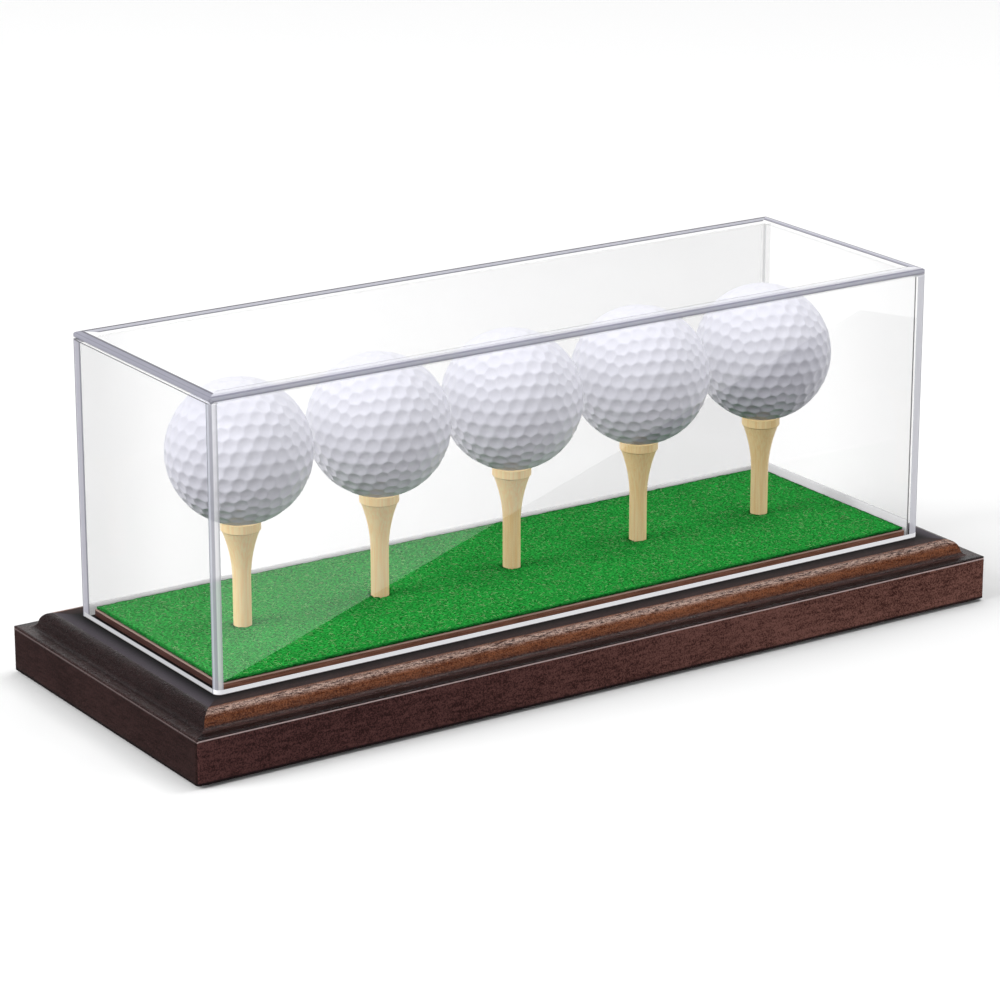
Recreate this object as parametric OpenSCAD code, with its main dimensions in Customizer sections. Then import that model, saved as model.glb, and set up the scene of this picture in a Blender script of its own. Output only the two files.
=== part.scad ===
// Display case for a row of five golf balls.
// A wooden plinth with a moulded edge carries a low deck board with a green mat. Five wooden
// tees stand in the deck, each with a ball in its cup, and a clear cover lifts off upwards.
// Millimetres, +X along the row, -Y to the front, +Z up. The origin is the middle of the
// footprint, on the surface that the pads stand on.

/* [Balls] */
// Diameter of a ball
ball_d = 42.67; // [40:0.01:45]
// Free gap between neighbouring balls
ball_gap = 4; // [3:0.1:12]
// Depth of a dimple's middle below the ball's round outline
dimple_depth = 0.3; // [0.1:0.05:0.6]

/* [Tees] */
// Height of a tee from the mat to its rim
tee_stand = 31.5; // [20:0.1:60]
// Length of a tee below the mat's face
tee_sunk = 13; // [6:0.1:16]
// Diameter of the straight shank
shank_d = 5.4; // [4:0.1:7]
// Diameter of the head
head_d = 11.8; // [10.8:0.1:14]
// Height of the straight band round the head
head_band = 2.4; // [1:0.1:4]
// Width of the sloping step under the band
band_step = 0.4; // [0.1:0.1:0.8]
// Height of the flare from the shank to the band
flare_h = 14.8; // [8:0.1:20]
// Diameter of the cup's mouth
cup_d = 10; // [7:0.1:11]
// Length of the taper at the buried end
tip_l = 2.5; // [1:0.1:4]
// Diameter of the blunt tip
tip_d = 2.4; // [1:0.1:3.5]
// Clearance all round between a ball and its cup
seat_gap = 0.2; // [0.05:0.05:0.4]
// Clearance all round between a shank and its hole
tee_fit = 0.05; // [0.02:0.01:0.2]
// Free depth below a tee's tip
hole_spare = 0.3; // [0.1:0.1:1]

/* [Plinth] */
// Height of the plain slab below the moulding
slab_h = 13.6; // [11:0.1:20]
// Width of the flat ledge outside the cove
ledge_w = 3.6; // [1.5:0.1:6]
// Radius of the hollow cove
cove_r = 2.1; // [1.5:0.1:6]
// Radius of the rounded nose above the cove
nose_r = 3.6; // [2:0.1:5]
// Slope of the moulding where the cove meets the nose
ogee_angle = 81; // [50:0.1:85]
// Width of the flat shelf between the moulding and the cover
shelf_w = 5.7; // [2:0.1:12]
// Radius of the slab's top edge
arris_r = 0.9; // [0.3:0.1:2]
// Radius of the slab's upright corners
corner_r = 1.3; // [0.5:0.1:2.5]

/* [Deck and mat] */
// Thickness of the deck board
deck_t = 2.1; // [1.5:0.1:6]
// Gap all round between the deck board and the cover's walls
deck_gap = 0.8; // [0.3:0.1:2]
// Radius of the deck board's top edge
deck_arris = 0.3; // [0.1:0.1:1]
// Thickness of the mat
mat_t = 0.8; // [0.5:0.1:2]
// Setback of the mat from the deck board's edge
mat_setback = 0.4; // [0.3:0.1:1.5]

/* [Cover] */
// Thickness of the cover's sheets
sheet_t = 2.3; // [2:0.1:4]
// Free room beyond the last ball at each end
end_room = 7.9; // [3:0.1:30]
// Free room in front of and behind the balls
side_room = 16.6; // [3:0.1:40]
// Free room above the balls
head_room = 7.3; // [6:0.1:30]
// Clearance under the cover's walls
wall_gap = 0.1; // [0.05:0.05:0.5]
// Radius of the cover's upright corners
cover_corner_r = 2; // [0.3:0.1:3]
// Radius of the cover's top edges
cover_edge_r = 2; // [0.3:0.1:3]

/* [Pads] */
// Diameter of a pad
pad_d = 14; // [8:0.5:20]
// Thickness of a pad
pad_t = 1; // [0.6:0.1:3]
// Distance from the plinth's sides to a pad's rim
pad_inset = 8; // [3:0.5:20]

/* [Hidden] */
// Steps round a circle: most, small rounds and long arcs
$fn = 96;
SMALL_FN = 48;
LONG_FN = 360;
// Overshoot of a cutting shape past the face it opens
past = 1;
// Balls in the row, number 1 at the left
count = 5;
ball_r = ball_d / 2;
pitch = ball_d + ball_gap;
row_l = (count - 1) * pitch;
// The moulding rises through a cove and a nose that meet at one slope
ogee_h = (cove_r + nose_r) * (1 - cos(ogee_angle));
ogee_w = (cove_r + nose_r) * sin(ogee_angle);
meet_w = cove_r * sin(ogee_angle);
meet_h = cove_r * (1 - cos(ogee_angle));
mould_w = ledge_w + ogee_w;
// Heights of the faces, from the surface that the pads stand on
slab_top = pad_t + slab_h;
plinth_top = slab_top + ogee_h;
deck_top = plinth_top + deck_t;
mat_top = deck_top + mat_t;
rim_z = mat_top + tee_stand;
tip_z = mat_top - tee_sunk;
// The cup is part of a sphere round the middle of the resting ball
cup_sphere_r = ball_r + seat_gap;
ball_z = rim_z + sqrt(pow(cup_sphere_r, 2) - pow(cup_d / 2, 2));
wall_z = plinth_top + wall_gap;
lid_z = ball_z + ball_r + head_room;
case_top = lid_z + sheet_t;
// Inside, outside and footprint
in_l = row_l + ball_d + 2 * end_room;
in_w = ball_d + 2 * side_room;
out_l = in_l + 2 * sheet_t;
out_w = in_w + 2 * sheet_t;
deck_l = in_l - 2 * deck_gap;
deck_w = in_w - 2 * deck_gap;
mat_l = deck_l - 2 * mat_setback;
mat_w = deck_w - 2 * mat_setback;
base_l = out_l + 2 * (shelf_w + mould_w);
base_w = out_w + 2 * (shelf_w + mould_w);
// A rounded edge leaves a narrow flat on the end of its sheet
edge_flat = 0.2;
upright_r = min(cover_corner_r, sheet_t - edge_flat);
top_edge_r = min(cover_edge_r, sheet_t - edge_flat);
hole_r = shank_d / 2 + tee_fit;
// The flare is one hollow arc from the shank to the step under the band
flare_rise = head_d / 2 - band_step - shank_d / 2;
flare_r = (pow(flare_h, 2) + pow(flare_rise, 2)) / (2 * flare_rise);
band_z = rim_z - head_band;
flare_top = band_z - band_step;
// Dimples lie on a sphere at the points of a lattice on a twenty-sided solid, whose edges
// are 2 long
LATTICE = 6;
golden = (1 + sqrt(5)) / 2;
ico = [for (s = [-1, 1]) for (t = [-golden, golden]) each [[0, s, t], [s, t, 0], [t, 0, s]]];
ico_last = len(ico) - 1;

// The solid's faces, each with its three corners in order as seen from outside
function is_edge(a, b) = abs(norm(ico[a] - ico[b]) - 2) < 0.01;
function turned_out(a, b, c) = cross(ico[b] - ico[a], ico[c] - ico[a]) * ico[a] > 0
  ? [a, b, c] : [a, c, b];
ico_faces = [for (a = [0:ico_last]) for (b = [a + 1:1:ico_last]) if (is_edge(a, b))
  for (c = [b + 1:1:ico_last]) if (is_edge(a, c) && is_edge(b, c)) turned_out(a, b, c)];

// The small triangles of one face. A corner is a triple of steps that add up to LATTICE.
small_triangles = concat(
  [for (i = [0:LATTICE - 1]) for (j = [0:LATTICE - 1 - i]) let (k = LATTICE - i - j)
    [[k, i, j], [k - 1, i + 1, j], [k - 1, i, j + 1]]],
  [for (i = [0:LATTICE - 2]) for (j = [0:LATTICE - 2 - i]) let (k = LATTICE - i - j)
    [[k - 1, i + 1, j], [k - 2, i + 1, j + 1], [k - 1, i, j + 1]]]);

function corner_at(face, steps) =
  ico[face[0]] * steps[0] + ico[face[1]] * steps[1] + ico[face[2]] * steps[2];
function on_sphere(v, r) = v * r / norm(v);
function mirrored(v, a, b) = let (n = on_sphere(cross(a, b), 1)) v - 2 * (v * n) * n;

// Fourth corner of the pair of small triangles that share the side a to b. Over the edge of a
// face it is the mirror image of the third.
function across(face, a, b, c) = min(a + b - c) >= 0
  ? corner_at(face, a + b - c)
  : mirrored(corner_at(face, c), corner_at(face, a), corner_at(face, b));

// One facet of a dimple: its sunk middle and two neighbouring middles of small triangles,
// which stand on the full radius and make the ridge round it
function dimple_facet(face, a, b, c) = let (
    va = corner_at(face, a), vb = corner_at(face, b),
    vc = corner_at(face, c), vd = across(face, a, b, c))
  [on_sphere(va, ball_r - dimple_depth),
    on_sphere(va + vb + vc, ball_r), on_sphere(va + vb + vd, ball_r)];

ball_facets = [for (face = ico_faces) for (t = small_triangles) for (k = [0:2])
  dimple_facet(face, t[k], t[(k + 1) % 3], t[(k + 2) % 3])];

// A rectangle with round corners, centred
module round_rect(l, w, r) {
  square([l - 2 * r, w], center = true);
  square([l, w - 2 * r], center = true);
  for (x = [-1, 1], y = [-1, 1])
    translate([x * (l / 2 - r), y * (w / 2 - r)]) circle(r, $fn = SMALL_FN);
}

// Half of the plinth's end view, for a plinth of width w: slab, cove and nose
module plinth_half_profile(w) {
  half = w / 2;
  // Slab with its top edge rounded
  translate([0, pad_t]) square([half, slab_h - arris_r]);
  translate([0, slab_top - 2 * arris_r]) square([half - arris_r, 2 * arris_r]);
  translate([half - arris_r, slab_top - arris_r]) circle(arris_r);
  // Foot of the moulding, hollowed by the cove
  difference() {
    translate([0, slab_top - arris_r / 2]) square([half - ledge_w, meet_h + arris_r / 2]);
    translate([half - ledge_w, slab_top + cove_r]) circle(cove_r);
  }
  // Nose above the cove
  intersection() {
    translate([half - mould_w, plinth_top - nose_r]) circle(nose_r);
    translate([half - mould_w - nose_r, slab_top + meet_h]) square([2 * nose_r, ogee_h - meet_h]);
  }
  translate([0, slab_top]) square([half - mould_w, ogee_h]);
}

module plinth_profile(w) {
  plinth_half_profile(w);
  mirror([1, 0]) plinth_half_profile(w);
}

// A straight bar of the end view, l long, lying along Y
module plinth_bar(w, l) {
  rotate([90, 0, 0]) linear_extrude(l, center = true) plinth_profile(w);
}

// The place of tee and ball number n in the row
module in_row(n) {
  translate([n * pitch - (row_l / 2 + pitch), 0, 0]) children();
}

module tee_holes(z0, z1) {
  for (n = [1:count]) in_row(n) translate([0, 0, z0]) cylinder(h = z1 - z0, r = hole_r);
}

// Two bars crossed give the moulding its mitred corners
module plinth() {
  color("#3b2422") difference() {
    intersection() {
      plinth_bar(base_l, base_w);
      rotate([0, 0, 90]) plinth_bar(base_w, base_l);
      linear_extrude(plinth_top) round_rect(base_l, base_w, corner_r);
    }
    tee_holes(tip_z - hole_spare, plinth_top + past);
  }
}

// A flat board, l by w, from z0 up, with its top edge rounded
module edged_board(l, w, z0, t, r) {
  intersection() {
    rotate([90, 0, 0]) linear_extrude(w, center = true) board_profile(l, z0, t, r);
    rotate([90, 0, 90]) linear_extrude(l, center = true) board_profile(w, z0, t, r);
  }
}

// End view of such a board: square below, round at the two top corners
module board_profile(w, z0, t, r) {
  translate([0, z0]) intersection() {
    translate([-w / 2, 0]) square([w, t]);
    round_rect(w, 2 * t, r);
  }
}

module deck_board() {
  color("#6d4b3e") difference() {
    edged_board(deck_l, deck_w, plinth_top, deck_t, deck_arris);
    tee_holes(plinth_top - past, deck_top + past);
  }
}

module turf_mat() {
  color("#1e8c32") difference() {
    translate([-mat_l / 2, -mat_w / 2, deck_top]) cube([mat_l, mat_w, mat_t]);
    tee_holes(deck_top - past, mat_top + past);
  }
}

// A thin round pad under the plinth, near the corner given by the signs sx and sy
module pad(sx, sy) {
  off = pad_inset + pad_d / 2;
  color("#202020") translate([sx * (base_l / 2 - off), sy * (base_w / 2 - off), 0])
    cylinder(h = pad_t, d = pad_d);
}

// Right half of a tee's outline, turned about Z: tip, shank, hollow flare, step and band
module tee_outline() {
  r = shank_d / 2;
  polygon([[0, tip_z], [tip_d / 2, tip_z], [r, tip_z + tip_l], [r, rim_z], [0, rim_z]]);
  difference() {
    translate([0, flare_top - flare_h]) square([head_d / 2, flare_h + band_step]);
    translate([r + flare_r, flare_top - flare_h]) circle(flare_r, $fn = LONG_FN);
  }
  // The step slopes up to the band and starts inside the flare
  polygon([[0, flare_top - band_step], [head_d / 2 - 2 * band_step, flare_top - band_step],
    [head_d / 2, band_z], [0, band_z]]);
  translate([0, band_z]) square([head_d / 2, head_band]);
}

// The ball's seat is a shallow round hollow in the head
module tee(n) {
  color("#e6cf9f") in_row(n) difference() {
    rotate_extrude() tee_outline();
    translate([0, 0, ball_z]) sphere(cup_sphere_r, $fn = LONG_FN);
  }
}

// A ball is closed by the facets of all its dimples
module ball(n) {
  color("#f4f4f6") in_row(n) translate([0, 0, ball_z])
    polyhedron(
      points = [for (facet = ball_facets) each facet],
      faces = [for (i = [0:len(ball_facets) - 1]) [3 * i, 3 * i + 1, 3 * i + 2]]);
}

// Plan of the back sheet, with its two outer corners round
module long_sheet_plan() {
  intersection() {
    translate([-out_l / 2, in_w / 2]) square([out_l, sheet_t]);
    round_rect(out_l, out_w, upright_r);
  }
}

// Front and back sheets run the full length
module cover_back() {
  color("#c9cbd6", 0.35)
    translate([0, 0, wall_z]) linear_extrude(lid_z - wall_z) long_sheet_plan();
}

module cover_front() {
  mirror([0, 1, 0]) cover_back();
}

// End sheets fit between the long ones, s is -1 for the left
module cover_end_sheet(s) {
  color("#c9cbd6", 0.35)
    translate([s * (out_l - sheet_t) / 2 - sheet_t / 2, -in_w / 2, wall_z])
      cube([sheet_t, in_w, lid_z - wall_z]);
}

// The top sheet lies on the four walls
module cover_top() {
  color("#c9cbd6", 0.35) intersection() {
    edged_board(out_l, out_w, lid_z, sheet_t, top_edge_r);
    linear_extrude(case_top + past) round_rect(out_l, out_w, upright_r);
  }
}

plinth();
deck_board();
turf_mat();
pad(-1, -1);  // pad_front_left
pad(1, -1);  // pad_front_right
pad(-1, 1);  // pad_rear_left
pad(1, 1);  // pad_rear_right
tee(1);  // tee_1
tee(2);  // tee_2
tee(3);  // tee_3
tee(4);  // tee_4
tee(5);  // tee_5
ball(1);  // ball_1
ball(2);  // ball_2
ball(3);  // ball_3
ball(4);  // ball_4
ball(5);  // ball_5
cover_front();
cover_back();
cover_end_sheet(-1);  // cover_left
cover_end_sheet(1);  // cover_right
cover_top();
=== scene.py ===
import math

import bpy
import numpy as np
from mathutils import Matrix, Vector
from mathutils.kdtree import KDTree


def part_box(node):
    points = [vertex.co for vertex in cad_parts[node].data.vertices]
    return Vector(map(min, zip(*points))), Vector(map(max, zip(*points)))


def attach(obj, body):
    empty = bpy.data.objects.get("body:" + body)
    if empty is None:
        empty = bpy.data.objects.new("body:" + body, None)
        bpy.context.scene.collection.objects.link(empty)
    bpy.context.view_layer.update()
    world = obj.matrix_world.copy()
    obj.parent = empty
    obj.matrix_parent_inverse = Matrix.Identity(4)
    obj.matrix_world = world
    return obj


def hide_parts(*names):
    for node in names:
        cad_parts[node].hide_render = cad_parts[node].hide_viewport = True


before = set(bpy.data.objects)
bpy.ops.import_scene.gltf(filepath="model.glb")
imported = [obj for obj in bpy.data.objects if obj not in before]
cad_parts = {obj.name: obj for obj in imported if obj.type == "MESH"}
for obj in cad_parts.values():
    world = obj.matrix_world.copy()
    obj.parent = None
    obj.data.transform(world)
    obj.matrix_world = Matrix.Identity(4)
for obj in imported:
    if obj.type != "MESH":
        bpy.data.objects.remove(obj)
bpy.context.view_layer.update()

# The view
# The case is seen from beyond its left front corner and a little from above, through a long
# lens, with no shift. The azimuth turns from the front towards the left end.
AZIMUTH = math.radians(33.58)
ELEVATION = math.radians(18.08)
DISTANCE = 1.1518
LOOKED_AT = Vector((-0.0042, 0, 0.0439))
away = Vector((
    -math.sin(AZIMUTH) * math.cos(ELEVATION),
    -math.cos(AZIMUTH) * math.cos(ELEVATION),
    math.sin(ELEVATION),
))
bpy.ops.object.camera_add(location=LOOKED_AT + DISTANCE * away)
camera = bpy.context.object
camera.rotation_euler = away.to_track_quat("Z", "Y").to_euler()
camera.data.sensor_width = 36
camera.data.lens = 138.6
bpy.context.scene.camera = camera

# The plinth
# A board of dark stained mahogany with a moulded edge: a slab, a ledge, a cove and a rounded
# nose. The stain is darkest on the board's ends, and the slab's face is lighter towards its right
# end. The nose's crest and the slab's arrises and corners carry painted highlights, the shelf has
# painted shade round the cover and on the ends a painted reflection of the pale room, and the
# slab's foot is darkened by pooled stain and a painted shadow. It keeps its CAD solid.


class Wire:
    """A socket of a material. A sum written with it adds the Math nodes that work it out."""

    def __init__(self, tree, socket=None):
        self.tree = tree
        self.socket = socket

    def node(self, kind, settings={}, inputs={}, out=0):
        """Adds a node: its settings first, then the values or links of its sockets."""
        made = self.tree.nodes.new("ShaderNode" + kind)
        for name, value in settings.items():
            setattr(made, name, value)
        for key, value in inputs.items():
            if isinstance(value, Wire):
                self.tree.links.new(value.socket, made.inputs[key])
            else:
                made.inputs[key].default_value = value
        return Wire(self.tree, made.outputs[out] if len(made.outputs) else None)

    def maths(self, operation, *values):
        return self.node("Math", {"operation": operation}, dict(enumerate(values)))

    def __add__(self, other):
        return self.maths("ADD", self, other)

    __radd__ = __add__

    def __sub__(self, other):
        return self.maths("SUBTRACT", self, other)

    def __rsub__(self, other):
        return self.maths("SUBTRACT", other, self)

    def __mul__(self, other):
        return self.maths("MULTIPLY", self, other)

    __rmul__ = __mul__

    def __abs__(self):
        return self.maths("ABSOLUTE", self)


def new_material(name):
    """An empty material, with a Wire to build it on."""
    made = bpy.data.materials.new(name)
    made.use_nodes = True
    made.node_tree.nodes.clear()
    return made, Wire(made.node_tree)


def place_on(wire):
    """The place on the piece, in metres."""
    return wire.node("TexCoord", out="Object")


def split(place):
    """A place's x, y and z."""
    return (place.node("SeparateXYZ", {}, {0: place}, out=i) for i in range(3))


def rise(value, start, end):
    """0 before start and 1 past end, with a soft step between them."""
    return value.node("MapRange", {"interpolation_type": "SMOOTHSTEP"},
                      {"Value": value, "From Min": start, "From Max": end})


def fall(value, start, end):
    """1 before start and 0 past end, with a soft step between them."""
    return value.node("MapRange", {"interpolation_type": "SMOOTHSTEP"},
                      {"Value": value, "From Min": start, "From Max": end, "To Min": 1, "To Max": 0})


def band(value, start, end, soft=0.0001):
    """1 between start and end, in metres, and 0 beyond them."""
    middle, half = (start + end) / 2, (end - start) / 2
    return fall(abs(value - middle), half - soft, half + soft)


def noise(place, size, detail=2.0, stretch=(1, 1, 1)):
    """Noise whose grains are about one size across, longer where stretch is above 1."""
    squeezed = place.node("VectorMath", {"operation": "DIVIDE"}, {0: place, 1: stretch})
    return place.node("TexNoise", {}, {"Vector": squeezed, "Scale": 1 / size, "Detail": detail})


def mix(share, low, high):
    """From one colour to the other as share goes from 0 to 1."""
    return share.node("Mix", {"data_type": "RGBA"}, {0: share, 6: low, 7: high}, out=2)


def paint(red, green, blue):
    """A colour written as the screen's values from 0 to 255."""
    return tuple((c / 255 / 12.92 if c < 11 else ((c / 255 + 0.055) / 1.055) ** 2.4)
                 for c in (red, green, blue)) + (1,)


def bump(height, depth):
    """Turns a height from 0 to 1 into a normal, for a relief this deep in metres."""
    return height.node("Bump", {}, {"Height": height, "Distance": depth, "Strength": 1.0})


def finish_material(wire, surface):
    wire.node("OutputMaterial", {}, {"Surface": surface})


def dress(names, material):
    """Gives CAD nodes a material."""
    for name in names:
        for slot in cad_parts[name].material_slots:
            slot.material = material


plinth_low, plinth_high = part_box("plinth")
slab_top = plinth_low.z + 0.0136
# How far in from the slab's faces the cove, the nose and the flat shelf begin
COVE_IN = 0.0036
NOSE_IN = 0.0052
SHELF_IN = 0.0092

plinth_wood, w = new_material("plinth_wood")
place = place_on(w)
x, y, z = split(place)
from_end = plinth_high.x - abs(x)
from_side = plinth_high.y - abs(y)
at_end = rise(from_side - from_end, -0.0001, 0.0001)
inward = w.maths("MINIMUM", from_end, from_side)
past_slab = rise(inward, COVE_IN - 0.0006, COVE_IN)
on_nose = rise(inward, NOSE_IN - 0.0002, NOSE_IN + 0.0006)
on_crest = band(inward, 0.0066, 0.0086, 0.0006)
on_shelf = rise(inward, SHELF_IN - 0.0004, SHELF_IN + 0.0004)
# Speckle all over, streaks along the board, others across its ends, and open pores
speckle = noise(place, 0.00042, 3)
streak = noise(place, 0.0009, 3, (6, 1, 1))
end_streak = noise(place, 0.0007, 3, (1, 6, 1))
blotch = noise(place, 0.02, 2, (3, 1, 1))
pore = rise(noise(place, 0.00036, 4, (5, 1, 1)), 0.5, 0.6)
tone = rise(0.6 * speckle + 0.25 * streak + 0.15 * blotch, 0.38, 0.62)
end_tone = rise(0.6 * speckle + 0.25 * end_streak + 0.15 * blotch, 0.38, 0.62)

slab_left = mix(tone, paint(48, 26, 26), paint(104, 68, 66))
slab_right = mix(tone, paint(64, 34, 30), paint(142, 98, 88))
ledge_stain = mix(tone, paint(12, 5, 5), paint(32, 17, 17))
cove_stain = mix(tone, paint(40, 26, 25), paint(76, 54, 50))
nose_stain = mix(tone, paint(76, 36, 20), paint(146, 90, 60))
painted_crest_highlight = mix(tone, paint(108, 80, 70), paint(194, 166, 152))
shelf_stain = mix(tone, paint(38, 25, 24), paint(64, 50, 49))
# From the slab's face, below 0, over its round top arris to its top, above 0
over_arris = inward - (slab_top - z)
side_colour = mix(rise(x, -0.1, 0.14), slab_left, slab_right)
side_colour = mix(rise(over_arris, -0.0004, -0.0002), side_colour, ledge_stain)
side_colour = mix(past_slab, side_colour, cove_stain)
side_colour = mix(on_nose, side_colour, nose_stain)
# The crest carries a painted highlight, broken by dark open pores
side_colour = mix(on_crest, side_colour, mix(pore, painted_crest_highlight, paint(56, 36, 32)))
# The shelf darkens to painted shade towards the cover
side_colour = mix(on_shelf, side_colour, mix(rise(inward, 0.0105, 0.015), shelf_stain, paint(6, 3, 2)))

end_slab = mix(end_tone, paint(28, 16, 15), paint(60, 41, 40))
end_mould = mix(end_tone, paint(22, 13, 13), paint(46, 31, 31))
# On the ends the shelf carries a painted bluish-grey reflection of the pale room, fading to painted
# shade at the cover
end_shelf_painted_sheen_and_shade = mix(rise(inward, 0.0095, 0.015), paint(76, 70, 77), paint(2, 1, 1))
end_colour = mix(on_shelf, mix(past_slab, end_slab, end_mould), end_shelf_painted_sheen_and_shade)
# The slab's upper arris and its corners carry painted highlights, weaker on the ends, and its foot is
# painted dark, partly pooled stain and partly a painted contact shadow
painted_edge_highlight = w.maths("MAXIMUM", band(over_arris, -0.0008, -0.0004),
                 fall(from_end + from_side, 0.0005, 0.0007))
stain_and_painted_light = mix(painted_edge_highlight * (0.8 - 0.6 * at_end), mix(at_end, side_colour, end_colour), paint(206, 186, 184))
stain_and_painted_light = mix(0.9 * fall(z, plinth_low.z + 0.0005, plinth_low.z + 0.001), stain_and_painted_light, paint(12, 7, 9))
dull_wood = w.node("BsdfPrincipled", {}, {
    "Base Color": stain_and_painted_light,
    "Roughness": 0.55 + 0.2 * speckle,
    "Specular IOR Level": 0.2,
    "Normal": bump(0.6 * speckle + 0.4 * streak, 0.00008),
})
polished_wood = w.node("BsdfPrincipled", {}, {
    "Base Color": stain_and_painted_light,
    "Roughness": 0.2 + 0.2 * streak,
    "Specular IOR Level": 0.3,
    "Normal": bump(0.4 * speckle + 0.6 * pore, 0.0001),
})
# The moulding is polished, and the slab and the shelf are dull
moulded = rise(z, plinth_low.z + 0.0123, plinth_low.z + 0.0128) * (1 - on_shelf)
finish_material(w, w.node("MixShader", {}, {0: moulded, 1: dull_wood, 2: polished_wood}))
dress(["plinth"], plinth_wood)

# The pads
# Four thin round pads of black rubber are glued under the plinth and keep it off the table.
pad_rubber, w = new_material("pad_rubber")
place = place_on(w)
grain = noise(place, 0.0006, 3)
finish_material(w, w.node("BsdfPrincipled", {}, {
    "Base Color": mix(grain, paint(18, 18, 19), paint(44, 44, 46)),
    "Roughness": 0.75 + 0.2 * grain,
    "Normal": bump(grain, 0.00005),
}))
dress([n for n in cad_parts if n.startswith("pad_")], pad_rubber)

# The deck board
# A thin brown board glued on the plinth inside the cover's walls, which it keeps in place.
# Its upper arris carries a painted highlight.
deck_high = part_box("deck_board")[1]
deck_wood, w = new_material("deck_wood")
place = place_on(w)
x, y, z = split(place)
at_end = rise((deck_high.y - abs(y)) - (deck_high.x - abs(x)), -0.0001, 0.0001)
fibre = noise(place, 0.0004, 3, (20, 20, 1))
tone = rise(fibre, 0.3, 0.7)
side_colour = mix(tone, paint(116, 74, 56), paint(150, 100, 80))
end_colour = mix(tone, paint(62, 38, 32), paint(88, 56, 48))
# A painted highlight along the board's upper arris
painted_deck_highlight = rise(z, deck_high.z - 0.0005, deck_high.z - 0.0002)
finish_material(w, w.node("BsdfPrincipled", {}, {
    "Base Color": mix(0.55 * painted_deck_highlight, mix(at_end, side_colour, end_colour), paint(214, 184, 172)),
    "Roughness": 0.42 + 0.15 * fibre,
    "Normal": bump(fibre, 0.00004),
}))
dress(["deck_board"], deck_wood)

# The mat
# A sheet of green felt, cut a little smaller than the deck board and glued down, with a round
# hole for each tee. Its face is uneven and matted.
GREEN_DARK = paint(4, 98, 26)
GREEN = paint(54, 196, 80)
mat_low, mat_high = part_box("turf_mat")
mat_size = mat_high - mat_low
MAT_CELL = 0.0008
TEE_HOLE = 0.00276
tees = [f"tee_{n}" for n in range(1, 6)]
tee_spots = [sum(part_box(name), Vector()) / 2 for name in tees]


def only(thing):
    """Selects one object and nothing else."""
    bpy.ops.object.select_all(action="DESELECT")
    thing.select_set(True)
    bpy.context.view_layer.objects.active = thing


def settle(thing):
    """Puts an object's place, turn and size into its mesh."""
    only(thing)
    bpy.ops.object.transform_apply(location=True, rotation=True, scale=True)


def apply_modifier(thing, kind, **settings):
    only(thing)
    bpy.ops.object.modifier_add(type=kind)
    modifier = thing.modifiers[-1]
    for name, value in settings.items():
        setattr(modifier, name, value)
    bpy.ops.object.modifier_apply(modifier=modifier.name)


bpy.ops.object.select_all(action="DESELECT")
bpy.ops.mesh.primitive_grid_add(
    x_subdivisions=round(mat_size.x / MAT_CELL), y_subdivisions=round(mat_size.y / MAT_CELL),
    size=1, location=((mat_low + mat_high) / 2).xy.to_3d() + Vector((0, 0, mat_high.z)))
mat = bpy.context.object
mat.name = "felt_mat"
mat.scale = (mat_size.x, mat_size.y, 1)
settle(mat)
# The points under a tee go, and the ring that is left is drawn in to the tee's shank
for part in (*mat.data.edges, *mat.data.polygons):
    part.select = False
for v in mat.data.vertices:
    v.select = any((v.co.xy - spot.xy).length < TEE_HOLE for spot in tee_spots)
only(mat)
bpy.ops.object.mode_set(mode="EDIT")
bpy.ops.mesh.select_mode(type="VERT")
bpy.ops.mesh.delete(type="VERT")
bpy.ops.object.mode_set(mode="OBJECT")
for v in mat.data.vertices:
    for spot in tee_spots:
        off = v.co.xy - spot.xy
        if off.length < TEE_HOLE + 1.05 * MAT_CELL:
            v.co.x, v.co.y = spot.xy + off.normalized() * TEE_HOLE
lumps = bpy.data.textures.new("felt_lumps", type="CLOUDS")
lumps.noise_scale = 0.0011
lumps.noise_depth = 2
apply_modifier(mat, "DISPLACE", texture=lumps, texture_coords="LOCAL", direction="Z",
               strength=0.0004, mid_level=0.5)
apply_modifier(mat, "SOLIDIFY", thickness=mat_size.z - 0.0002, offset=-1)
only(mat)
bpy.ops.object.shade_smooth()

felt, w = new_material("felt")
place = place_on(w)
x, y, z = split(place)
tuft = noise(place, 0.00042, 4, (2, 1, 1))
cloud = noise(place, 0.006, 2)
from_edge = w.maths("MINIMUM", mat_high.x - abs(x), mat_high.y - abs(y))
cut_edge = fall(from_edge, 0.0, 0.0012)
tone = rise(0.95 * tuft + 0.05 * cloud, 0.38, 0.62)
finish_material(w, w.node("BsdfPrincipled", {}, {
    "Base Color": mix(0.6 * cut_edge, mix(tone, GREEN_DARK, GREEN), paint(12, 62, 30)),
    "Roughness": 0.95,
    "Specular IOR Level": 0.1,
    "Normal": bump(tuft, 0.0002),
}))
mat.data.materials.append(felt)
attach(mat, "base")
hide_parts("turf_mat")

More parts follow.
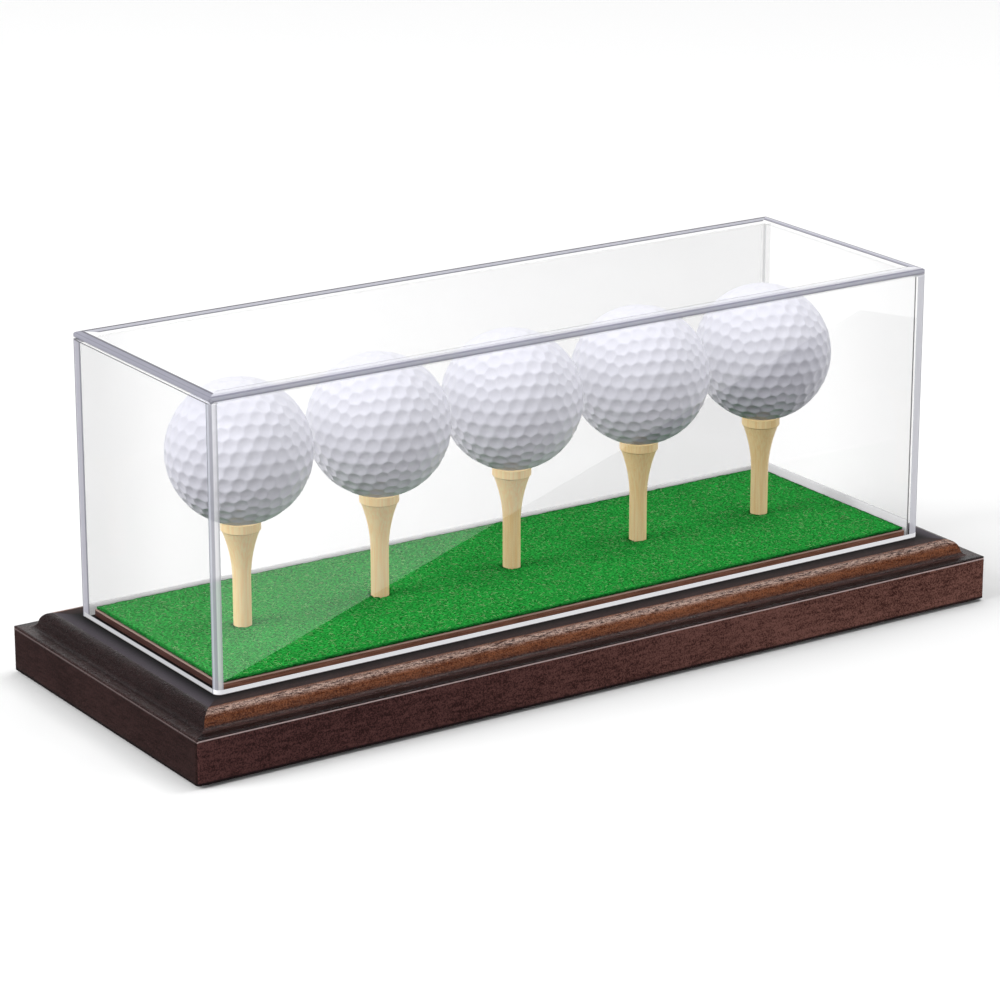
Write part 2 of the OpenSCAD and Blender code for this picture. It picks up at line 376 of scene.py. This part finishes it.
# The felt's loose hairs
# Short pale hairs lie curled on the mat, with their ends pressed into it. One hair is modelled,
# and the copies are curled, turned and laid over the mat at random, clear of its edge and tees.
HAIRS = 8000
HAIR_LONG = 0.0013
HAIR_THICK = 0.00012
HAIR_CURL = 0.25 * HAIR_LONG
HAIR_ENDS_DOWN = 0.0002
HAIR_MARGIN = 0.0008
rng = np.random.default_rng(7)
bpy.ops.object.select_all(action="DESELECT")
bpy.ops.mesh.primitive_cylinder_add(vertices=3, radius=HAIR_THICK / 2, depth=HAIR_LONG,
                                    rotation=(0, math.pi / 2, 0))
hair = bpy.context.object
settle(hair)
bpy.ops.object.mode_set(mode="EDIT")
bpy.ops.mesh.select_mode(type="EDGE")
bpy.ops.mesh.select_all(action="DESELECT")
bpy.ops.object.mode_set(mode="OBJECT")
for e in hair.data.edges:
    a, b = (hair.data.vertices[i].co for i in e.vertices)
    e.select = abs(a.x - b.x) > HAIR_LONG / 2
bpy.ops.object.mode_set(mode="EDIT")
bpy.ops.mesh.subdivide(number_cuts=2)
bpy.ops.object.mode_set(mode="OBJECT")
apply_modifier(hair, "TRIANGULATE")
hair_points = np.array([v.co for v in hair.data.vertices])
hair_faces = np.array([p.vertices for p in hair.data.polygons])
bpy.data.objects.remove(hair)
spots = np.column_stack([
    rng.uniform(mat_low.x + HAIR_MARGIN, mat_high.x - HAIR_MARGIN, HAIRS),
    rng.uniform(mat_low.y + HAIR_MARGIN, mat_high.y - HAIR_MARGIN, HAIRS)])
to_tee = np.min([np.hypot(*(spots - spot.xy).T) for spot in tee_spots], axis=0)
spots = spots[to_tee > TEE_HOLE + 0.0012]
turn = rng.uniform(0, 2 * math.pi, len(spots))
curl = rng.uniform(-1, 1, len(spots))
lift = rng.uniform(0.0, 0.00022, len(spots))
size = rng.uniform(0.5, 1.2, len(spots))
# Each row is one hair, each column one of its points
along, across, up = (np.tile(hair_points[:, axis], (len(spots), 1)) for axis in range(3))
to_ends = (along / (HAIR_LONG / 2)) ** 2
along *= size[:, None]
across += HAIR_CURL * curl[:, None] * to_ends
up -= HAIR_ENDS_DOWN * to_ends
cos, sin = np.cos(turn)[:, None], np.sin(turn)[:, None]
laid = np.stack([
    along * cos - across * sin + spots[:, None, 0],
    along * sin + across * cos + spots[:, None, 1],
    up + mat_high.z + 0.0001 + lift[:, None]], axis=2)
first_points = np.arange(len(spots)) * len(hair_points)
laid_faces = hair_faces[None] + first_points[:, None, None]
hairs_mesh = bpy.data.meshes.new("felt_hairs")
hairs_mesh.from_pydata(laid.reshape(-1, 3), [], laid_faces.reshape(-1, 3).tolist())
hairs = bpy.data.objects.new("felt_hairs", hairs_mesh)
bpy.context.collection.objects.link(hairs)
only(hairs)
bpy.ops.object.shade_smooth()
hair_dye, w = new_material("hair_dye")
place = place_on(w)
strand = noise(place, 0.0016, 1)
finish_material(w, w.node("BsdfPrincipled", {}, {
    "Base Color": mix(rise(strand, 0.35, 0.65), paint(70, 180, 82), paint(166, 226, 146)),
    "Roughness": 0.6,
}))
hairs.data.materials.append(hair_dye)
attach(hairs, "base")

# The tees
# Five turned tees of pale wood, sanded and lightly sealed, are glued into the board. They keep
# their CAD solids. A faint glow stands for the light that the pale room throws back on them.
tee_wood, w = new_material("tee_wood")
place = place_on(w)
fibre = noise(place, 0.0005, 3, (1, 1, 24))
colour = mix(rise(fibre, 0.3, 0.7), paint(250, 216, 154), paint(255, 232, 178))
finish_material(w, w.node("BsdfPrincipled", {}, {
    "Base Color": colour,
    "Emission Color": colour,
    "Emission Strength": 0.07,
    "Roughness": 0.42 + 0.1 * fibre,
    "Normal": bump(fibre, 0.00002),
    "Coat Weight": 0.1,
    "Coat Roughness": 0.2,
}))
dress(tees, tee_wood)

# The balls
# Each ball is moulded with round dimples at the points of a lattice on a twenty-sided solid,
# and sprayed with a clear coat. The lattice is cut finer, made round and pressed in. The balls
# throw no shadow on the mat.
LATTICE = 6
FINER = 12
BALL_R = 0.021335
DIMPLE_R = 0.00205
DIMPLE_DEPTH = 0.0004
bpy.ops.object.select_all(action="DESELECT")
bpy.ops.mesh.primitive_ico_sphere_add(subdivisions=1, radius=BALL_R)
first_ball = bpy.context.object


def split_edges(thing, parts):
    """Cuts each edge into parts, so that each triangle becomes a grid, and makes it round."""
    only(thing)
    bpy.ops.object.mode_set(mode="EDIT")
    bpy.ops.mesh.select_all(action="SELECT")
    bpy.ops.mesh.subdivide(number_cuts=parts - 1)
    bpy.ops.object.mode_set(mode="OBJECT")
    apply_modifier(thing, "CAST", cast_type="SPHERE", factor=1,
                   use_radius_as_size=False, radius=0, size=BALL_R)


split_edges(first_ball, LATTICE)
middles = KDTree(len(first_ball.data.vertices))
for i, v in enumerate(first_ball.data.vertices):
    middles.insert(v.co, i)
middles.balance()
split_edges(first_ball, FINER)
dimples = first_ball.vertex_groups.new(name="dimples")
for v in first_ball.data.vertices:
    to_rim = middles.find(v.co)[2] / DIMPLE_R
    if to_rim < 1:
        dimples.add([v.index], 1 - to_rim ** 2, "REPLACE")
apply_modifier(first_ball, "DISPLACE", vertex_group="dimples", strength=-DIMPLE_DEPTH, mid_level=0)
first_ball.vertex_groups.clear()
only(first_ball)
bpy.ops.object.shade_smooth()

ball_skin, w = new_material("ball_skin")
place = place_on(w)
mottle = noise(place, 0.004, 2)
finish_material(w, w.node("BsdfPrincipled", {}, {
    "Base Color": mix(mottle, paint(234, 234, 246), paint(241, 241, 252)),
    "Roughness": 0.3 + 0.08 * mottle,
    "Specular IOR Level": 0.25,
    "Coat Weight": 0.2,
    "Coat Roughness": 0.08,
}))
first_ball.data.materials.append(ball_skin)
for n in range(1, 6):
    ball = first_ball.copy()
    ball.data = first_ball.data.copy()
    ball.name = f"golf_ball_{n}"
    bpy.context.collection.objects.link(ball)
    ball.location = sum(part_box(f"ball_{n}"), Vector()) / 2
    settle(ball)
    ball.visible_shadow = False
    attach(ball, f"ball_{n}")
    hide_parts(f"ball_{n}")
bpy.data.objects.remove(first_ball)

# The cover
# Five sheets of clear acrylic are glued edge to edge. The faces are all but invisible. The cut
# and rounded edges gather light and show as fine pale and grey lines along each corner, which
# are painted here, because a clear sheet that bends no light has none.
cover_low = Vector(map(min, *(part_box(n)[0] for n in ("cover_front", "cover_top"))))
cover_high = Vector(map(max, *(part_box(n)[1] for n in ("cover_back", "cover_top"))))
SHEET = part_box("cover_left")[1].x - cover_low.x
TOUCH = 0.00003
OUTER_MIRROR = 0.075
INNER_MIRROR = 0.015


def acrylic(name, lines, mirror):
    """A clear sheet with lines on it. The function lines takes the distances to the cover's
    left, right, front, back, top and foot. It gives each line's mask, its colour and what share
    of the view behind it hides. Mirror is the share of light that a face seen square on mirrors."""
    made, w = new_material(name)
    x, y, z = split(place_on(w))
    drawn = lines(x - cover_low.x, cover_high.x - x, y - cover_low.y,
                  cover_high.y - y, cover_high.z - z, z - cover_low.z)
    line_colour, hides = paint(*drawn[0][1]), 0.0
    for mask, colour, share in drawn:
        line_colour = mix(mask, line_colour, paint(*colour))
        hides = hides + mask * (share - hides)
    clear = w.node("BsdfTransparent", {}, {"Color": (1, 1, 1, 1)})
    shine = w.node("BsdfGlossy", {}, {"Color": (1, 1, 1, 1), "Roughness": 0.0})
    slant = w.node("LayerWeight", {}, {"Blend": 0.5}, out="Facing")
    mirrored = mirror + 0.9 * w.maths("POWER", slant, 5.0)
    face = w.node("MixShader", {}, {0: mirrored, 1: clear, 2: shine})
    glow = w.node("BsdfPrincipled", {}, {
        "Base Color": line_colour,
        "Roughness": 0.5,
        "Specular IOR Level": 0.0,
        "Emission Color": line_colour,
        "Emission Strength": 0.3,
    })
    entering = w.node("MixShader", {}, {0: hides, 1: face, 2: glow})
    # A ray that leaves a sheet goes on unchanged
    leaving = w.node("NewGeometry", out="Backfacing")
    finish_material(w, w.node("MixShader", {}, {0: leaving, 1: entering, 2: clear}))
    return made


def lid_lines(left, right, front, back, top, foot):
    """The lid's edge over each wall: grey rails, with a dark line on both sides."""
    near = left.maths("MINIMUM", left, right)
    at_front = rise(near - front, -TOUCH, TOUCH)
    at_back = rise(near - back, -TOUCH, TOUCH)
    at_end = 1 - (at_front + at_back)
    at_left = at_end * fall(left, 0.1, 0.101)
    at_right = at_end * fall(right, 0.1, 0.101)
    # How far in from each edge: below 0 on the lid's upright edge, above 0 on its top
    front_in, back_in, left_in, right_in = (side - top for side in (front, back, left, right))
    back_left = fall(left, 0.0023, 0.0024) * fall(back_in, 0.0003, 0.0004) * rise(top, 0.0019, 0.0021)
    return [
        (at_front * band(front_in, 0.0040, 0.0045), (128, 128, 133), 0.4),
        (at_front * band(front_in, 0.0021, 0.0038, 0.0002), (198, 198, 204), 0.6),
        (at_front * band(front_in, 0.0008, 0.0020, 0.0002), (168, 168, 179), 0.6),
        (at_front * band(front_in, -0.0012, 0.0001), (148, 149, 160), 0.92),
        (at_front * band(front_in, 0.0000, 0.0008), (118, 117, 131), 0.92),
        (at_front * band(front_in, -0.0016, -0.0011), (122, 122, 133), 0.92),
        (at_left * band(left_in, -0.0013, 0.0026), (128, 128, 139), 0.92),
        (at_left * band(left_in, 0.0002, 0.0006), (115, 115, 127), 0.92),
        (at_left * band(left_in, 0.0021, 0.0029), (94, 93, 103), 0.92),
        (at_left * band(left_in, -0.0024, -0.0020), (94, 94, 98), 0.92),
        (at_back * band(back_in, -0.0010, 0.0060), (160, 160, 168), 0.92),
        (at_back * band(back_in, -0.0010, 0.0026), (84, 84, 91), 0.94),
        (at_back * band(back_in, 0.0049, 0.0060), (102, 102, 110), 0.92),
        (at_right * band(right_in, -0.0010, 0.0046), (146, 146, 157), 0.92),
        (at_right * band(right_in, -0.0010, 0.0021), (112, 112, 119), 0.92),
        (at_right * band(right_in, 0.0021, 0.0028), (180, 180, 190), 0.92),
        (at_right * band(right_in, 0.0039, 0.0046), (108, 108, 116), 0.92),
        (back_left, (122, 122, 133), 0.92),
    ]


def front_lines(left, right, front, back, top, foot):
    """The front wall's outer face: a post at each end, and a painted bright edge along the foot with a
    painted contact shadow under it.
    """
    outside = fall(front, 0.0018, 0.0019)
    left_post = left - front
    right_post = right - front
    at_left = fall(left, 0.003, 0.0031) * fall(front, 0.00229, 0.0023)
    at_right = fall(right, 0.005, 0.0051) * outside
    return [
        (at_left * band(left_post, -0.0023, -0.0009), (177, 179, 188), 0.9),
        (at_left * band(left_post, -0.0024, -0.0019), (128, 130, 139), 0.92),
        (at_left * band(left_post, -0.0009, 0.0004), (155, 155, 164), 0.9),
        (at_left * band(left_post, 0.0004, 0.0018), (222, 222, 226), 0.7),
        (at_left * band(left_post, 0.0018, 0.0022), (185, 185, 190), 0.9),
        (at_right * band(right_post, 0.0008, 0.0036), (200, 200, 208), 0.85),
        (at_right * band(right_post, -0.0020, 0.0009), (158, 158, 166), 0.9),
        # A painted bright edge along the foot, with a painted contact shadow under it
        (outside * band(foot, -0.0010, 0.0015), (245, 245, 248), 0.96),
        (outside * band(foot, -0.0010, 0.0002), (108, 101, 101), 0.96),
    ]


def left_lines(left, right, front, back, top, foot):
    """The left wall's outer face: the far post's inner half, and a painted pale edge along the foot
    with a painted contact shadow under it.
    """
    outside = fall(left, 0.0018, 0.0019)
    return [
        (outside * band(back, 0.0023, 0.0047), (166, 165, 175), 0.8),
        (outside * band(back, 0.0047, 0.0053), (126, 126, 133), 0.92),
        # A painted pale edge along the foot, with a painted contact shadow under it
        (outside * band(foot, -0.0010, 0.0015), (180, 180, 183), 0.96),
        (outside * band(foot, -0.0010, 0.0002), (89, 84, 84), 0.96),
    ]


def back_lines(left, right, front, back, top, foot):
    """The back wall: its left end, and on its inner face a painted grey reflection towards each end,
    the joints' lines and a painted reflection of the white room along the foot."""
    inside = band(back, SHEET - TOUCH, SHEET + TOUCH, TOUCH)
    left_post = left - back
    at_left = fall(left, 0.0023, 0.00231) * (1 - inside)
    return [
        # Painted grey reflections towards each end, and a painted reflection of the white room along
        # the foot
        (inside * fall(left, 0.0023, 0.034), (145, 145, 148), 0.2),
        (inside * fall(right, 0.01, 0.25), (145, 145, 148), 0.26),
        (inside * band(foot, -0.0010, 0.0036), (252, 252, 252), 0.92),
        (at_left * band(left_post, -0.0024, -0.0018), (166, 165, 175), 0.9),
        (at_left * band(left_post, -0.0019, 0.0020), (120, 120, 128), 0.92),
        (inside * band(left, -0.0001, 0.0006), (234, 234, 239), 0.9),
        (inside * band(left, 0.0006, 0.0012), (195, 195, 206), 0.9),
        (inside * band(left, 0.0012, 0.0017), (160, 160, 171), 0.92),
        (inside * band(right, 0.0023, 0.0028), (200, 200, 204), 0.8),
        (inside * band(right, 0.0034, 0.0038), (208, 208, 212), 0.5),
    ]


def right_lines(left, right, front, back, top, foot):
    """The right wall's inner face: a painted grey reflection near the front, the joints' lines and a
    painted reflection of the white room along the foot.
    """
    inside = band(right, SHEET - TOUCH, SHEET + TOUCH, TOUCH)
    return [
        # A painted grey reflection near the front, and a painted reflection of the white room along
        # the foot
        (inside * fall(front, 0.0023, 0.05), (134, 134, 136), 0.12),
        (inside * band(foot, -0.0010, 0.0052, 0.0004), (236, 236, 237), 0.92),
        (inside * band(front, 0.0023, 0.0029), (107, 107, 109), 0.92),
        (inside * band(back, 0.0023, 0.0030), (197, 197, 202), 0.6),
    ]


for side, lines, mirror in [
    ("top", lid_lines, OUTER_MIRROR),
    ("front", front_lines, OUTER_MIRROR),
    ("left", left_lines, OUTER_MIRROR),
    ("back", back_lines, INNER_MIRROR),
    ("right", right_lines, INNER_MIRROR),
]:
    dress([f"cover_{side}"], acrylic(f"acrylic_{side}", lines, mirror))

# The table, the backdrop and the lamps
# The case stands on a plain white table in a white room. Large soft lamps light it from the
# left, from above and from the front right, and a soft light comes up through the table too.
# The room is dark where polished faces would mirror it, but for its far right corner.
bpy.ops.object.select_all(action="DESELECT")
bpy.ops.mesh.primitive_plane_add(size=6)
table = bpy.context.object
table.name = "table"
table_white, w = new_material("table_white")
finish_material(w, w.node("BsdfPrincipled", {}, {
    "Base Color": (0.93, 0.93, 0.93, 1),
    "Roughness": 0.6,
    "Specular IOR Level": 0.0,
}))
table.data.materials.append(table_white)
table.visible_shadow = False

ROOM_LIGHT = 0.4
MIRRORED_ROOM = 0.12
world = bpy.data.worlds.new("white_room")
world.use_nodes = True
world.node_tree.nodes.clear()
w = Wire(world.node_tree)
x, y, z = split(w.node("TexCoord", out="Generated"))
far_corner = rise(0.70 * x + 0.71 * y, 0.5, 0.8) * (1 - rise(z, 0.5, 0.65))
mirrored = MIRRORED_ROOM + (1 - MIRRORED_ROOM) * far_corner
glossy_rays = w.node("LightPath", out="Is Glossy Ray")
unseen = ROOM_LIGHT + glossy_rays * (mirrored - ROOM_LIGHT)
# The camera's rays, also those that go through a clear sheet, meet plain white
seen = w.maths("MAXIMUM", w.node("LightPath", out="Is Camera Ray"),
               w.node("LightPath", out="Is Transmission Ray"))
strength = unseen + seen * (1 - unseen)
w.node("OutputWorld", {}, {0: w.node("Background", {}, {"Color": (1, 1, 1, 1), "Strength": strength})})
bpy.context.scene.world = world
LAMP_AWAY = 3


def lamp(name, direction, size, power, mirrored=False):
    """A lamp that faces the middle of the case. Polished faces show it only where mirrored."""
    towards = Vector(direction).normalized()
    bpy.ops.object.light_add(type="AREA", location=LOOKED_AT + towards * LAMP_AWAY)
    made = bpy.context.object
    made.name = name
    made.rotation_euler = towards.to_track_quat("Z", "Y").to_euler()
    made.data.shape = "RECTANGLE"
    made.data.size, made.data.size_y = size
    made.data.energy = power
    made.visible_glossy = mirrored


lamp("key_lamp", (-0.9, 0.12, 0.42), (1.6, 1.6), 81)
lamp("top_lamp", (0.27, 0.05, 0.96), (1.6, 1.6), 33)
lamp("front_lamp", (0.5, -0.86, 0.07), (1.6, 0.5), 32)
lamp("glint_lamp", (-0.55, 0.22, 0.81), (0.24, 0.24), 4.4, True)
lamp("nose_lamp", (0.52, -0.11, 0.85), (1.0, 0.6), 8, True)

# Two cards lie on the table where only reflections see them. A black one before the case keeps
# the white table out of the lower part of the front sheet, and a grey one lies to its left.
CARDS = {
    "black_card": (0.0, [(-0.2, -0.0567), (-0.2, -0.0895), (-0.1001, -0.0895),
                         (0.3223, -0.3148), (0.45, -0.0567)]),
    "grey_card": (0.2, [(-0.45, -0.0567), (-0.141, -0.0567), (-0.141, 0.45), (-0.45, 0.45)]),
}
for name, (grey, corners) in CARDS.items():
    card_mesh = bpy.data.meshes.new(name)
    card_mesh.from_pydata([(x, y, 0.0003) for x, y in corners], [], [range(len(corners))])
    card = bpy.data.objects.new(name, card_mesh)
    bpy.context.collection.objects.link(card)
    card_paint, w = new_material(name)
    finish_material(w, w.node("BsdfDiffuse", {}, {"Color": (grey, grey, grey, 1)}))
    card_mesh.materials.append(card_paint)
    card.visible_camera = card.visible_diffuse = card.visible_shadow = False
    card.visible_transmission = card.visible_volume_scatter = False

# A ray may cross many clear sheets, and pale surfaces throw no light on each other
bpy.context.scene.cycles.transparent_max_bounces = 32
bpy.context.scene.cycles.diffuse_bounces = 0
bpy.context.scene.view_settings.view_transform = "Standard"
